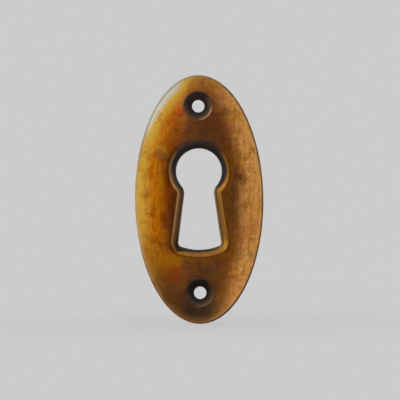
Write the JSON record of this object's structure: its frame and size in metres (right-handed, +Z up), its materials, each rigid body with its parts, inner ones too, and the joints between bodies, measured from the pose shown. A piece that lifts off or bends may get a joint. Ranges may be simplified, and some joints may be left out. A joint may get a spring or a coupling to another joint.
{
  "type": "keyhole escutcheon",
  "caption": "Domed oval keyhole escutcheon pressed from brass sheet, with a rolled-in keyhole rim and dimpled screw holes above and below it.",
  "frame": {"origin": "midway between the two screw holes, on the plane of the wood that the back rests on", "axes": "+Z up along the plate's long axis, towards the round head of the keyhole; -Y out of the domed face, towards the viewer; +X to the viewer's right"},
  "size_m": [0.0248, 0.0032, 0.048],
  "materials": {
    "aged_brass": "aged satin brass, golden where rubbed, dark brown patina in the middle and in the recesses"
  },
  "bodies": {
    "root": {"escutcheon_plate": "aged_brass"}
  },
  "joints": []
}
